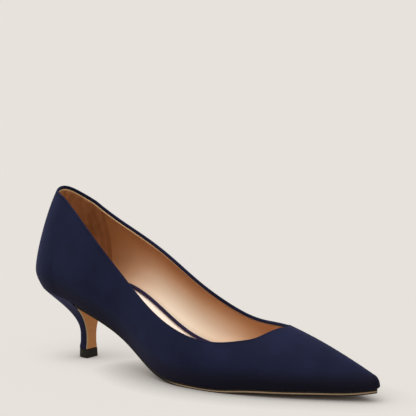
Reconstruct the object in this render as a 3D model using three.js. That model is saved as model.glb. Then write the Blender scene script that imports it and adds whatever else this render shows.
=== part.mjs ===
// A right-foot pump with a pointed toe and a curved kitten heel, built as a THREE.Group of named meshes.
// Millimetres, +Z up, +X to the toe. The outer (lateral) side of the foot is at -Y.
// The origin is the centre of the heel tip's tread. Inside this file x counts from the back of the last.

import * as THREE from 'three';

// Sizes of the last
const LENGTH = 261;
const BALL_HALF = 35;
const SEAT_HEIGHT = 47;
const ARCH_RISE = 10;
const SIDE_SWELL = 10;
const SWELL_HEIGHT = 20;
const CREST_HEIGHT = 90;
const HEEL_ROUND = 26;
const TOE_ROUND = 4;
const TAPER_FROM = 188;
const TAPER = THREE.MathUtils.degToRad(20);
const THROAT_AT = 195.8;

// Sizes of the pieces
const WALL = 1.8;
const SOLE = 2.6;
const WAIST_SOLE = 1.6;
const INSOLE = 3.2;
const ARCH_PAD = 2.7;
const PAD_AT = 60;
const PAD_REACH = 95;
const CORD = 2.3;
const CORD_REACH = 212;
const TIP_HEIGHT = 6;
const TIP_LENGTH = 9.2;
const TIP_WIDTH = 10.4;
const TIP_FLARE = 0.4;
const NECK_LENGTH = 8.5;
const NECK_WIDTH = 9.2;
const BREAST_AT = 38.2;
const BREAST_FLAP = 1.2;
const BREAST_FILLET = 5;

// Clearances: between pieces that meet, and between a bottom piece's edge and the upper's wall
const GAP = 0.3;
const EDGE_GAP = 0.6;

// Sections of the last. at is a share of LENGTH. Every other column is a share of the size that
// SECTION_SIZE gives for it. outer and inner are the feather line's half widths, base its height on
// the outer side, arch what the inner side adds, swell how far the wall bulges past the feather line,
// and rise the height of the crest over base. shoulder and crest shape the curve up to the crest.
const SECTION_SIZE = {
  centre: BALL_HALF,
  outer: BALL_HALF,
  inner: BALL_HALF,
  base: SEAT_HEIGHT,
  arch: ARCH_RISE,
  outerSwell: SIDE_SWELL,
  innerSwell: SIDE_SWELL,
  swellAt: SWELL_HEIGHT,
  rise: CREST_HEIGHT,
  shoulder: 1,
  crest: 1,
};
const SECTION_COLUMNS = ['at', ...Object.keys(SECTION_SIZE)];
const SECTIONS = [
  [0.00, 0.000, 0.520, 0.695, 1.000, 0.00, 0.42, 0.42, 0.54, 1.046, 0.17, 0.46],
  [0.10, 0.000, 0.582, 0.715, 0.921, 0.00, 0.51, 0.56, 0.80, 0.935, 0.27, 0.52],
  [0.20, 0.000, 0.653, 0.688, 0.783, 0.50, 0.57, 0.68, 0.98, 0.865, 0.37, 0.58],
  [0.32, -0.004, 0.634, 0.548, 0.489, 0.90, 0.58, 0.76, 1.04, 0.797, 0.45, 0.63],
  [0.44, -0.014, 0.824, 0.552, 0.140, 1.00, 0.54, 0.76, 0.95, 0.706, 0.48, 0.63],
  [0.55, -0.005, 0.972, 0.750, 0.055, 0.64, 0.45, 0.67, 0.77, 0.596, 0.46, 0.58],
  [0.64, 0.016, 0.972, 0.863, 0.057, 0.14, 0.36, 0.56, 0.59, 0.502, 0.43, 0.53],
  [0.72, 0.044, 0.878, 0.863, 0.096, 0.02, 0.29, 0.44, 0.44, 0.414, 0.41, 0.48],
  [0.80, 0.077, 0.704, 0.753, 0.111, 0.00, 0.23, 0.32, 0.31, 0.337, 0.41, 0.46],
  [0.88, 0.115, 0.464, 0.545, 0.126, 0.00, 0.18, 0.23, 0.21, 0.245, 0.43, 0.45],
  [0.95, 0.154, 0.225, 0.295, 0.140, 0.00, 0.16, 0.16, 0.14, 0.158, 0.47, 0.47],
  [1.00, 0.184, 0.050, 0.090, 0.179, 0.00, 0.13, 0.08, 0.056, 0.079, 0.51, 0.54],
];

// Topline. at is a share of THROAT_AT. outer and inner say how far up the curve from the swell to the
// crest each wall is cut, and at 1 the two walls meet on the crest.
const TOPLINE_COLUMNS = ['at', 'outer', 'inner'];
const TOPLINE = [
  [0.00, 0.686, 0.686],
  [0.13, 0.604, 0.523],
  [0.27, 0.460, 0.359],
  [0.43, 0.305, 0.349],
  [0.60, 0.303, 0.409],
  [0.75, 0.303, 0.336],
  [0.87, 0.401, 0.504],
  [0.93, 0.512, 0.609],
  [0.97, 0.681, 0.746],
  [1.00, 1.000, 1.000],
];

// How finely the surfaces are divided
const STEPS = { heel: 8, quarter: 24, vamp: 9, toe: 4, low: 4, high: 9, facets: 4, bottom: 30 };

const OUTER = -1;
const INNER = 1;

// Curves through the tables

function naturalSpline(xs, ys) {
  const count = xs.length;
  const bend = new Array(count).fill(0);
  const carry = new Array(count).fill(0);
  const rest = new Array(count).fill(0);
  for (let i = 1; i < count - 1; i += 1) {
    const before = xs[i] - xs[i - 1];
    const after = xs[i + 1] - xs[i];
    const turn = 6 * ((ys[i + 1] - ys[i]) / after - (ys[i] - ys[i - 1]) / before);
    const pivot = 2 * (before + after) - before * carry[i - 1];
    carry[i] = after / pivot;
    rest[i] = (turn - before * rest[i - 1]) / pivot;
  }
  for (let i = count - 2; i > 0; i -= 1) {
    bend[i] = rest[i] - carry[i] * bend[i + 1];
  }
  return (x) => {
    let i = 0;
    while (i < count - 2 && x > xs[i + 1]) i += 1;
    const span = xs[i + 1] - xs[i];
    const a = (xs[i + 1] - x) / span;
    const b = 1 - a;
    const curve = (a ** 3 - a) * bend[i] + (b ** 3 - b) * bend[i + 1];
    return a * ys[i] + b * ys[i + 1] + curve * span * span / 6;
  };
}

function columnCurves(columns, rows, reach, sizes) {
  const xs = rows.map((row) => row[0] * reach);
  const curves = {};
  for (let i = 1; i < columns.length; i += 1) {
    const name = columns[i];
    curves[name] = naturalSpline(xs, rows.map((row) => row[i] * (sizes[name] ?? 1)));
  }
  return curves;
}

const last = columnCurves(SECTION_COLUMNS, SECTIONS, LENGTH, SECTION_SIZE);
const topline = columnCurves(TOPLINE_COLUMNS, TOPLINE, THROAT_AT, {});

function mix(a, b, share) {
  return a + (b - a) * share;
}

function clamp(value, low, high) {
  return Math.min(high, Math.max(low, value));
}

function ease(share) {
  return THREE.MathUtils.smoothstep(share, 0, 1);
}

// Height of the last's bottom over the floor
function footHeight(x, y) {
  const outer = last.outer(x);
  const across = clamp((y - last.centre(x) + outer) / (outer + last.inner(x)), 0, 1);
  return last.base(x) + Math.max(0, last.arch(x)) * across ** 3;
}

// How far a station's plane leans forward at x, to stay square to the tapering toe
function toeLean(x) {
  return TAPER * ease((x - TAPER_FROM) / (LENGTH - TOE_ROUND - TAPER_FROM));
}

// Distance from the centre line at x to the feather line, along a plane that leans forward
function edgeReach(x, side, lean) {
  const halfWidth = side === OUTER ? last.outer : last.inner;
  let reach = halfWidth(x);
  for (let i = 0; i < 4; i += 1) {
    reach = halfWidth(x + reach * Math.sin(lean)) / Math.cos(lean);
  }
  return reach;
}

// Where a station of the wall stands. Along the sides q is its x. Round the heel and the toe q is an
// angle, which is 0 on the centre line. own is how fully the station follows its own side of the last.
function station(kind, q, side) {
  if (kind === 'heel') {
    const halfWidth = side === OUTER ? last.outer : last.inner;
    const out = [-Math.cos(q), side * Math.sin(q)];
    const reach = 1 / Math.hypot(out[0] / HEEL_ROUND, out[1] / halfWidth(HEEL_ROUND));
    return { x: HEEL_ROUND, y: last.centre(HEEL_ROUND), reach, out, own: Math.sin(q) };
  }
  if (kind === 'toe') {
    const x = LENGTH - TOE_ROUND;
    const share = q / (Math.PI / 2);
    const angle = share * (Math.PI / 2 - TAPER);
    const reach = mix(TOE_ROUND, edgeReach(x, side, TAPER), ease(share));
    return { x, y: last.centre(x), reach, out: [Math.cos(angle), side * Math.sin(angle)], own: ease(share) };
  }
  const lean = toeLean(q);
  const out = [Math.sin(lean), side * Math.cos(lean)];
  return { x: q, y: last.centre(q), reach: edgeReach(q, side, lean), out, own: 1 };
}

function footPoint(place, inset) {
  const reach = place.reach - inset;
  return [place.x + reach * place.out[0], place.y + reach * place.out[1]];
}

function sideShare(outer, inner, side, own) {
  const both = (outer + inner) / 2;
  return mix(both, side === OUTER ? outer : inner, own);
}

function stationList() {
  const list = [];
  for (let i = 0; i < STEPS.heel; i += 1) {
    list.push(['heel', Math.PI / 2 * i / STEPS.heel]);
  }
  for (let i = 0; i < STEPS.quarter; i += 1) {
    const share = i / STEPS.quarter;
    const closer = mix(share, Math.sin(Math.PI / 2 * share), 0.5);
    list.push(['side', mix(HEEL_ROUND, THROAT_AT, closer)]);
  }
  for (let i = 0; i < STEPS.vamp; i += 1) {
    list.push(['side', mix(THROAT_AT, LENGTH - TOE_ROUND, i / STEPS.vamp)]);
  }
  for (let i = 0; i <= STEPS.toe; i += 1) {
    list.push(['toe', Math.PI / 2 * (1 - i / STEPS.toe)]);
  }
  return list;
}

// One column of the wall, from the feather line up to the topline or the crest
function wallColumn(kind, q, side) {
  const place = station(kind, q, side);
  const [footX, y] = footPoint(place, 0);
  const x = Math.min(footX, LENGTH);
  const foot = footHeight(x, y);
  const swell = sideShare(last.outerSwell(x), last.innerSwell(x), side, place.own);
  const swellAt = last.swellAt(x);
  const crestHeight = last.base(place.x) + last.rise(place.x) - foot;
  let cut = 1;
  if (place.x < THROAT_AT) {
    cut = Math.min(1, sideShare(topline.outer(x), topline.inner(x), side, place.own));
  }
  const widest = place.reach + swell;
  const column = [];
  const add = (reach, height) => {
    column.push([place.x + reach * place.out[0], place.y + reach * place.out[1], foot + height]);
  };
  for (let i = 0; i < STEPS.low; i += 1) {
    const t = i / STEPS.low;
    add(place.reach + swell * Math.sin(Math.PI / 2 * t), swellAt * t);
  }
  for (let i = 0; i <= STEPS.high; i += 1) {
    const u = cut * i / STEPS.high;
    const v = 1 - u;
    const reach = widest * (v ** 3 + 3 * v * v * u + 3 * v * u * u * last.crest(x));
    const climb = 3 * v * v * u * last.shoulder(x) + 3 * v * u * u + u ** 3;
    add(reach, swellAt + climb * (crestHeight - swellAt));
  }
  return column;
}

// Surfaces and solids

function newSurface() {
  return { points: [], triangles: [], known: new Map() };
}

function addPoint(surface, point) {
  const key = point.map((value) => Math.round(value * 1000)).join(',');
  if (!surface.known.has(key)) {
    surface.known.set(key, surface.points.length);
    surface.points.push(point);
  }
  return surface.known.get(key);
}

function addTriangle(surface, a, b, c) {
  if (a !== b && b !== c && c !== a) surface.triangles.push([a, b, c]);
}

function addGrid(surface, rows, flip) {
  const ids = rows.map((row) => row.map((point) => addPoint(surface, point)));
  for (let i = 0; i + 1 < ids.length; i += 1) {
    for (let j = 0; j + 1 < ids[i].length; j += 1) {
      const [a, b, c, d] = [ids[i][j], ids[i + 1][j], ids[i + 1][j + 1], ids[i][j + 1]];
      if (flip) {
        addTriangle(surface, a, c, b);
        addTriangle(surface, a, d, c);
      } else {
        addTriangle(surface, a, b, c);
        addTriangle(surface, a, c, d);
      }
    }
  }
}

function pointNormals(surface) {
  const normals = surface.points.map(() => new THREE.Vector3());
  for (const triangle of surface.triangles) {
    const [a, b, c] = triangle.map((id) => new THREE.Vector3(...surface.points[id]));
    const normal = b.sub(a).cross(c.sub(a));
    triangle.forEach((id) => normals[id].add(normal));
  }
  return normals.map((normal) => normal.normalize());
}

// Closes an open surface with a second sheet, point for point, and a rim round every open edge
function closeWithSheet(surface, sheet) {
  const count = surface.points.length;
  const triangles = [...surface.triangles];
  const edges = new Map();
  for (const [a, b, c] of surface.triangles) {
    triangles.push([a + count, c + count, b + count]);
    for (const [from, to] of [[a, b], [b, c], [c, a]]) {
      edges.set(`${from},${to}`, [from, to]);
    }
  }
  for (const [from, to] of edges.values()) {
    if (!edges.has(`${to},${from}`)) {
      triangles.push([to, from, from + count], [to, from + count, to + count]);
    }
  }
  return { points: [...surface.points, ...sheet], triangles };
}

function piece(name, solid, colour, roughness) {
  const geometry = new THREE.BufferGeometry();
  geometry.setAttribute('position', new THREE.Float32BufferAttribute(solid.points.flat(), 3));
  geometry.setIndex(solid.triangles.flat());
  geometry.computeVertexNormals();
  const material = new THREE.MeshStandardMaterial({ color: colour, roughness, metalness: 0 });
  const mesh = new THREE.Mesh(geometry, material);
  mesh.name = name;
  return mesh;
}

// Upper: one shell from the feather line to the topline, open at the collar and underneath
function upperSolid() {
  const surface = newSurface();
  for (const side of [OUTER, INNER]) {
    const columns = stationList().map(([kind, q]) => wallColumn(kind, q, side));
    addGrid(surface, columns, side === INNER);
  }
  const normals = pointNormals(surface);
  const lining = surface.points.map((point, i) => point.map((value, k) => value - WALL * normals[i].getComponent(k)));
  return closeWithSheet(surface, lining);
}

// Bottom pieces

// Half width at x, on one side, of a bottom piece that is inset from the feather line and ends at toe
function bottomHalf(x, side, inset, toe) {
  const at = Math.max(x, HEEL_ROUND);
  const halfWidth = side === OUTER ? last.outer : last.inner;
  const step = LENGTH / 500;
  const slope = (halfWidth(at + step) - halfWidth(at - step)) / (2 * step);
  const intoHeel = (at - x) / (HEEL_ROUND - inset);
  const intoToe = Math.max(0, x - (toe - TOE_ROUND)) / TOE_ROUND;
  const into = Math.min(1, Math.max(intoHeel, intoToe));
  return (halfWidth(at) - inset * Math.hypot(1, slope)) * Math.sqrt(1 - into * into);
}

function bottomCentre(x) {
  return last.centre(Math.max(x, HEEL_ROUND));
}

// One row across a bottom piece, from the outer edge to the inner one
function bottomRow(x, inset, toe, height) {
  const row = [];
  for (let i = -STEPS.facets; i <= STEPS.facets; i += 1) {
    const side = i < 0 ? OUTER : INNER;
    const y = bottomCentre(x) + bottomHalf(x, side, inset, toe) * i / STEPS.facets;
    row.push([x, y, height(x, y)]);
  }
  return row;
}

// Stations of a bottom piece: close together where an end is round
function bottomStations(from, inset, toe) {
  const stations = [];
  if (from < HEEL_ROUND) {
    for (let i = 0; i < STEPS.heel; i += 1) {
      stations.push(HEEL_ROUND - (HEEL_ROUND - inset) * Math.cos(Math.PI / 2 * i / STEPS.heel));
    }
  }
  const start = Math.max(from, HEEL_ROUND);
  for (let i = 0; i < STEPS.bottom; i += 1) {
    stations.push(mix(start, toe - TOE_ROUND, i / STEPS.bottom));
  }
  for (let i = 0; i <= STEPS.toe; i += 1) {
    stations.push(toe - TOE_ROUND + TOE_ROUND * Math.sin(Math.PI / 2 * i / STEPS.toe));
  }
  return stations;
}

const INSOLE_INSET = WALL + EDGE_GAP;
const INSOLE_TOE = LENGTH - 3 * INSOLE_INSET;

// The insole is thicker along its inner edge, over a pad under the arch
function insoleTop(x, y) {
  const outer = last.outer(x);
  const across = clamp((y - last.centre(x) + outer) / (outer + last.inner(x)), 0, 1);
  const along = ease(1 - Math.abs(x - PAD_AT) / PAD_REACH);
  return footHeight(x, y) + INSOLE + ARCH_PAD * along * across ** 2;
}

function insoleSolid() {
  const surface = newSurface();
  const stations = bottomStations(0, INSOLE_INSET, INSOLE_TOE);
  const rows = stations.map((x) => bottomRow(x, INSOLE_INSET, INSOLE_TOE, footHeight));
  addGrid(surface, rows, true);
  const sheet = surface.points.map(([x, y]) => [x, y, insoleTop(x, y)]);
  return closeWithSheet(surface, sheet);
}

// Cord round the edge of the insole, from under the vamp round the heel and back
function cordSolid() {
  const inset = INSOLE_INSET + CORD / 4;
  const lift = 1.5 * GAP + CORD / 2;
  const path = [];
  const addStation = (kind, q, side) => {
    const [x, y] = footPoint(station(kind, q, side), inset);
    path.push(new THREE.Vector3(x, y, insoleTop(x, y) + lift));
  };
  for (let i = STEPS.quarter; i > 0; i -= 1) {
    addStation('side', mix(HEEL_ROUND, CORD_REACH, i / STEPS.quarter), OUTER);
  }
  for (let i = STEPS.heel; i > 0; i -= 1) {
    addStation('heel', Math.PI / 2 * i / STEPS.heel, OUTER);
  }
  for (let i = 0; i < STEPS.heel; i += 1) {
    addStation('heel', Math.PI / 2 * i / STEPS.heel, INNER);
  }
  for (let i = 0; i <= STEPS.quarter; i += 1) {
    addStation('side', mix(HEEL_ROUND, CORD_REACH, i / STEPS.quarter), INNER);
  }
  return tubeSolid(path, CORD / 2, 8);
}

// Tube with flat ends, whose section keeps one corner upwards
function tubeSolid(path, radius, sides) {
  const points = [];
  const triangles = [];
  path.forEach((centre, i) => {
    const along = path[Math.min(i + 1, path.length - 1)].clone().sub(path[Math.max(i - 1, 0)]).normalize();
    const across = along.clone().cross(new THREE.Vector3(0, 0, 1)).normalize();
    const up = across.clone().cross(along);
    for (let k = 0; k < sides; k += 1) {
      const angle = 2 * Math.PI * k / sides;
      const spoke = across.clone().multiplyScalar(Math.cos(angle)).addScaledVector(up, Math.sin(angle));
      points.push(centre.clone().addScaledVector(spoke, radius).toArray());
    }
  });
  for (let i = 0; i + 1 < path.length; i += 1) {
    for (let k = 0; k < sides; k += 1) {
      const next = (k + 1) % sides;
      const [a, b] = [i * sides + k, i * sides + next];
      triangles.push([a, b + sides, b], [a, a + sides, b + sides]);
    }
  }
  const end = (path.length - 1) * sides;
  for (let k = 1; k + 1 < sides; k += 1) {
    triangles.push([0, k, k + 1], [end, end + k + 1, end + k]);
  }
  return { points, triangles };
}

// Outsole: thin leather under the forefoot and the waist, with a flap down the heel's breast

function soleThickness(x) {
  const share = clamp((x - BREAST_AT) / (LENGTH / 2 - BREAST_AT), 0, 1);
  return mix(WAIST_SOLE, SOLE, share * share);
}

function soleTop(x, y) {
  return footHeight(x, y) - GAP;
}

// The tread is flat where the sole would reach the floor
function soleBottom(x, y) {
  return Math.max(0, soleTop(x, y) - soleThickness(x));
}

function outsoleSolid() {
  const back = BREAST_AT - BREAST_FLAP;
  const tops = [];
  const bottoms = [];
  const inset = GAP;
  const toe = LENGTH - GAP;
  const flapFoot = TIP_HEIGHT + GAP;
  const bendStart = soleBottom(BREAST_AT, 0) - BREAST_FILLET;
  const addFlapRow = (z) => {
    const row = breastRow(z, GAP);
    tops.push(row.map((y) => [back, y, z]));
    bottoms.push(row.map((y) => [BREAST_AT, y, z]));
  };
  const flapSteps = 8;
  for (let i = 0; i <= flapSteps; i += 1) {
    addFlapRow(mix(flapFoot, bendStart, i / flapSteps));
  }
  const bendSteps = 4;
  for (let i = 1; i <= bendSteps; i += 1) {
    const t = i / bendSteps;
    const x = BREAST_AT + BREAST_FILLET * t * t;
    const corner = bottomRow(BREAST_AT, inset, toe, soleBottom);
    const ahead = bottomRow(BREAST_AT + BREAST_FILLET, inset, toe, soleBottom);
    const low = breastRow(bendStart, GAP);
    const wide = bottomRow(x, inset, toe, soleTop);
    const bottom = wide.map((point, k) => {
      const y = mix(low[k], point[1], t);
      const z = (1 - t) ** 2 * bendStart + 2 * t * (1 - t) * corner[k][2] + t * t * ahead[k][2];
      return [x, y, z];
    });
    const rise = clamp(t * 2, 0, 1);
    const run = clamp(t * 2 - 1, 0, 1);
    const topX = mix(back, BREAST_AT + BREAST_FILLET, run);
    tops.push(bottom.map(([, y]) => {
      const z = mix(bendStart, soleTop(back, y), rise);
      return [topX, y, run > 0 ? soleTop(topX, y) : z];
    }));
    bottoms.push(bottom);
  }
  for (const x of bottomStations(BREAST_AT + BREAST_FILLET, inset, toe).slice(1)) {
    tops.push(bottomRow(x, inset, toe, soleTop));
    bottoms.push(bottomRow(x, inset, toe, soleBottom));
  }
  return solidBetween(tops, bottoms);
}

// Solid between two grids of the same size, whose edges are joined point for point
function solidBetween(tops, bottoms) {
  const surface = newSurface();
  const grid = tops.map((row, i) => row.map((point, j) => [...point, ...bottoms[i][j]]));
  addGrid(surface, grid, false);
  const sheet = surface.points.map((pair) => pair.slice(3));
  surface.points = surface.points.map((pair) => pair.slice(0, 3));
  return closeWithSheet(surface, sheet);
}

// Heel

const HEEL_FRONT = BREAST_AT - BREAST_FLAP - GAP;
const HEEL_FOOT = TIP_HEIGHT + GAP;

// How far the heel has drawn in from its tip to its neck at a share of its height
function drawnIn(share) {
  const neck = 0.12;
  return ease(share / neck);
}

// How far the heel has flared from its neck to its seat at a share of its height. fullness swells the
// curve just under the seat.
function flare(share, { power, fullness }) {
  const straight = 0.22;
  const t = clamp((share - straight) / (1 - straight), 0, 1);
  return t ** power + fullness * t ** 3 * (1 - t);
}

const FLARE_BACK = { power: 2.2, fullness: 1.75 };
const FLARE_SIDES = { power: 2.1, fullness: -0.3 };

// Length and width of the heel before it flares, with the breast flap's thickness taken off its length
function stemSize(share) {
  const length = mix(TIP_LENGTH, NECK_LENGTH, drawnIn(share)) - (BREAST_AT - HEEL_FRONT);
  return { length, width: mix(TIP_WIDTH, NECK_WIDTH, drawnIn(share)) };
}

// Half-round outline of the tip, flat in front. share runs from the outer corner round to the inner.
function tipPoint(share, front, length, width) {
  const angle = Math.PI * share;
  const fullness = 0.8;
  const back = Math.sin(angle) ** fullness;
  const across = Math.sign(Math.cos(angle)) * Math.abs(Math.cos(angle)) ** fullness;
  return [front - length * back, -width / 2 * across];
}

// Outline of the heel's seat, from the outer breast corner round to the inner one
function seatOutline(inset) {
  const outline = [];
  const flat = 3;
  for (const side of [OUTER, INNER]) {
    const half = [];
    for (let i = 0; i < flat; i += 1) {
      half.push(footPoint(station('side', mix(HEEL_FRONT, HEEL_ROUND, i / flat), side), inset));
    }
    for (let i = STEPS.heel; i > 0; i -= 1) {
      half.push(footPoint(station('heel', Math.PI / 2 * i / STEPS.heel, side), inset));
    }
    outline.push(half);
  }
  const middle = footPoint(station('heel', 0, OUTER), inset);
  return [...outline[0], middle, ...outline[1].reverse()];
}

function heelLoop(share) {
  const seat = seatOutline(GAP);
  const { length, width } = stemSize(share);
  const loop = seat.map(([x, y], i) => {
    const [stemX, stemY] = tipPoint(i / (seat.length - 1), HEEL_FRONT, length, width);
    const z = mix(HEEL_FOOT, soleTop(x, y), share);
    return [mix(stemX, x, flare(share, FLARE_BACK)), mix(stemY, y, flare(share, FLARE_SIDES)), z];
  });
  const [outer, inner] = [loop[0], loop[loop.length - 1]];
  const front = 4;
  for (let i = 1; i < front; i += 1) {
    const y = mix(inner[1], outer[1], i / front);
    const top = soleTop(HEEL_FRONT, mix(seat[seat.length - 1][1], seat[0][1], i / front));
    loop.push([HEEL_FRONT, y, mix(HEEL_FOOT, top, share)]);
  }
  return loop;
}

// The y values of a row across the breast at height z, inset from the heel's corners
function breastRow(z, inset) {
  const seat = seatOutline(GAP);
  const corners = [seat[0], seat[seat.length - 1]];
  const sides = [OUTER, INNER];
  const ys = corners.map(([x, y], i) => {
    const share = clamp((z - HEEL_FOOT) / (soleTop(x, y) - HEEL_FOOT), 0, 1);
    const stemY = sides[i] * stemSize(share).width / 2;
    return mix(stemY, y, flare(share, FLARE_SIDES)) - sides[i] * inset;
  });
  const row = [];
  for (let i = 0; i <= 2 * STEPS.facets; i += 1) {
    row.push(mix(ys[0], ys[1], i / (2 * STEPS.facets)));
  }
  return row;
}

function closedLoop(loop) {
  return [...loop, loop[0]];
}

function heelSolid() {
  const surface = newSurface();
  const steps = 17;
  const loops = [];
  for (let i = 0; i <= steps; i += 1) {
    loops.push(heelLoop(i / steps));
  }
  addGrid(surface, loops.map(closedLoop), false);
  const bottomMiddle = [HEEL_FRONT - stemSize(0).length / 2, 0];
  const seatMiddle = [HEEL_ROUND * 0.7, 0];
  addCap(surface, loops[0], bottomMiddle, () => HEEL_FOOT, 1, false);
  addCap(surface, loops[steps], seatMiddle, soleTop, 4, true);
  return surface;
}

// Cap of a loop, made of rings that shrink to its middle
function addCap(surface, loop, middle, height, rings, facesUp) {
  const rows = [];
  for (let i = 0; i <= rings; i += 1) {
    const share = 1 - i / rings;
    rows.push(closedLoop(loop).map(([x, y, z]) => {
      const [ringX, ringY] = [mix(middle[0], x, share), mix(middle[1], y, share)];
      return [ringX, ringY, i === 0 ? z : height(ringX, ringY)];
    }));
  }
  addGrid(surface, rows, !facesUp);
}

// Heel tip: the rubber top piece, a little wider at the tread
function tipSolid() {
  const surface = newSurface();
  const count = 24;
  const loops = [0, 1].map((top) => {
    const spread = TIP_FLARE * (1 - top);
    const loop = [];
    for (let i = 0; i <= count; i += 1) {
      const front = BREAST_AT + spread / 2;
      const [x, y] = tipPoint(i / count, front, TIP_LENGTH + spread, TIP_WIDTH + spread);
      loop.push([x, y, TIP_HEIGHT * top]);
    }
    return loop;
  });
  addGrid(surface, loops.map(closedLoop), false);
  const middle = [BREAST_AT - TIP_LENGTH / 2, 0];
  addCap(surface, loops[0], middle, () => 0, 1, false);
  addCap(surface, loops[1], middle, () => TIP_HEIGHT, 1, true);
  return surface;
}

// The assembly

const shoe = new THREE.Group();
shoe.add(piece('upper', upperSolid(), 0x1f2038, 0.85));
shoe.add(piece('insole', insoleSolid(), 0xffe4cd, 0.6));
shoe.add(piece('insole_piping', cordSolid(), 0x2b2640, 0.85));
shoe.add(piece('outsole', outsoleSolid(), 0xa9763f, 0.55));
shoe.add(piece('heel', heelSolid(), 0x1f2038, 0.85));
shoe.add(piece('heel_tip', tipSolid(), 0x1c1a18, 0.5));
shoe.position.x = TIP_LENGTH / 2 - BREAST_AT;

const group = new THREE.Group();
group.add(shoe);

export default group;
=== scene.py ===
# Looks of a right-foot pump with a pointed toe and a curved kitten heel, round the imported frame.
# Sizes are in millimetres, and x counts from the back of the last, as in the part's source.
# The meshes are written in metres in the row frame, and bump distances are in metres too.

import math

import bpy
import numpy as np
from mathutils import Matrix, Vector


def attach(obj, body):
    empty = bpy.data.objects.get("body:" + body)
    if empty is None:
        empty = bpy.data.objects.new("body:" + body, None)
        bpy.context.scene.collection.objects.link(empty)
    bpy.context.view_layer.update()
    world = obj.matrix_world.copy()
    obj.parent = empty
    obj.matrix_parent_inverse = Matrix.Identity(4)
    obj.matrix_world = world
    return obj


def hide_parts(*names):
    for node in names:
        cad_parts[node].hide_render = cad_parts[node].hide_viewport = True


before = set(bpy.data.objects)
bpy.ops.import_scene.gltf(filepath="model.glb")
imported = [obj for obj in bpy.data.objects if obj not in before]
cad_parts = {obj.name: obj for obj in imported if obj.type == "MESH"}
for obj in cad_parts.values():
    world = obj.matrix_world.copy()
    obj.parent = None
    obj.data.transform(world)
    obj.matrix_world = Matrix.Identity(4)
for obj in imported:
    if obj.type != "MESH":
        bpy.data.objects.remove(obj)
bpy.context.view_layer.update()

# Sizes of the last and of the pieces, as in the part's source
LENGTH = 261
BALL_HALF = 35
SEAT_HEIGHT = 47
ARCH_RISE = 10
SIDE_SWELL = 10
SWELL_HEIGHT = 20
CREST_HEIGHT = 90
HEEL_ROUND = 26
TOE_ROUND = 4
TAPER_FROM = 188
TAPER = math.radians(20)
THROAT_AT = 195.8
WALL = 1.8
SOLE = 2.6
WAIST_SOLE = 1.6
INSOLE = 3.2
ARCH_PAD = 2.7
PAD_AT = 60
PAD_REACH = 95
CORD = 2.3
CORD_REACH = 212
TIP_HEIGHT = 6
TIP_LENGTH = 9.2
TIP_WIDTH = 10.4
TIP_FLARE = 0.4
NECK_LENGTH = 8.5
NECK_WIDTH = 9.2
BREAST_AT = 38.2
BREAST_FLAP = 1.2
BREAST_FILLET = 5
GAP = 0.3
EDGE_GAP = 0.6
HEEL_FRONT = BREAST_AT - BREAST_FLAP - GAP
HEEL_FOOT = TIP_HEIGHT + GAP
HEEL_STRAIGHT = 0.22
NECK_SHARE = 0.12
FLARE_BACK = (2.2, 1.75)
FLARE_SIDES = (2.1, -0.3)
ORIGIN_SHIFT = TIP_LENGTH / 2 - BREAST_AT
METRES = 0.001

# Sizes of the details that only this script has
FOLD_RADIUS = 0.9
FOLD_DROP = 0.45
FOLD_REACH = 6.0
FOLD_DEPTHS = (0.8, 1.6, 4.0)
FOLD_RUN = 60
TUCK = ((0.45, 0.14), (1.2, 0.2), (3.0, 0.2))
LINING = 0.45
LINING_DROP = 1.6
LINING_REACH = 14.0
COVE = 1.8
COVE_FROM = 4
COVE_HEIGHT = 8
GRIP = 0.3
GRIP_REACH = 31.0
GRIP_DROP = 0.85
BAND = 0.8
BAND_PROUD = 0.12
SOCK_INSET = 1.3
SOCK_ROUND = 0.9
SOCK_SKIRT = 2.2
EDGE_BULGE = 0.12

# Sections of the last: shares of the sizes in SECTION_SIZE, at shares of LENGTH
SECTION_SIZE = {
    "centre": BALL_HALF,
    "outer": BALL_HALF,
    "inner": BALL_HALF,
    "base": SEAT_HEIGHT,
    "arch": ARCH_RISE,
    "outer_swell": SIDE_SWELL,
    "inner_swell": SIDE_SWELL,
    "swell_at": SWELL_HEIGHT,
    "rise": CREST_HEIGHT,
    "shoulder": 1,
    "crest": 1,
}
SECTIONS = [
    [0.00, 0.000, 0.520, 0.695, 1.000, 0.00, 0.42, 0.42, 0.54, 1.046, 0.17, 0.46],
    [0.10, 0.000, 0.582, 0.715, 0.921, 0.00, 0.51, 0.56, 0.80, 0.935, 0.27, 0.52],
    [0.20, 0.000, 0.653, 0.688, 0.783, 0.50, 0.57, 0.68, 0.98, 0.865, 0.37, 0.58],
    [0.32, -0.004, 0.634, 0.548, 0.489, 0.90, 0.58, 0.76, 1.04, 0.797, 0.45, 0.63],
    [0.44, -0.014, 0.824, 0.552, 0.140, 1.00, 0.54, 0.76, 0.95, 0.706, 0.48, 0.63],
    [0.55, -0.005, 0.972, 0.750, 0.055, 0.64, 0.45, 0.67, 0.77, 0.596, 0.46, 0.58],
    [0.64, 0.016, 0.972, 0.863, 0.057, 0.14, 0.36, 0.56, 0.59, 0.502, 0.43, 0.53],
    [0.72, 0.044, 0.878, 0.863, 0.096, 0.02, 0.29, 0.44, 0.44, 0.414, 0.41, 0.48],
    [0.80, 0.077, 0.704, 0.753, 0.111, 0.00, 0.23, 0.32, 0.31, 0.337, 0.41, 0.46],
    [0.88, 0.115, 0.464, 0.545, 0.126, 0.00, 0.18, 0.23, 0.21, 0.245, 0.43, 0.45],
    [0.95, 0.154, 0.225, 0.295, 0.140, 0.00, 0.16, 0.16, 0.14, 0.158, 0.47, 0.47],
    [1.00, 0.184, 0.050, 0.090, 0.179, 0.00, 0.13, 0.08, 0.056, 0.079, 0.51, 0.54],
]
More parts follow.
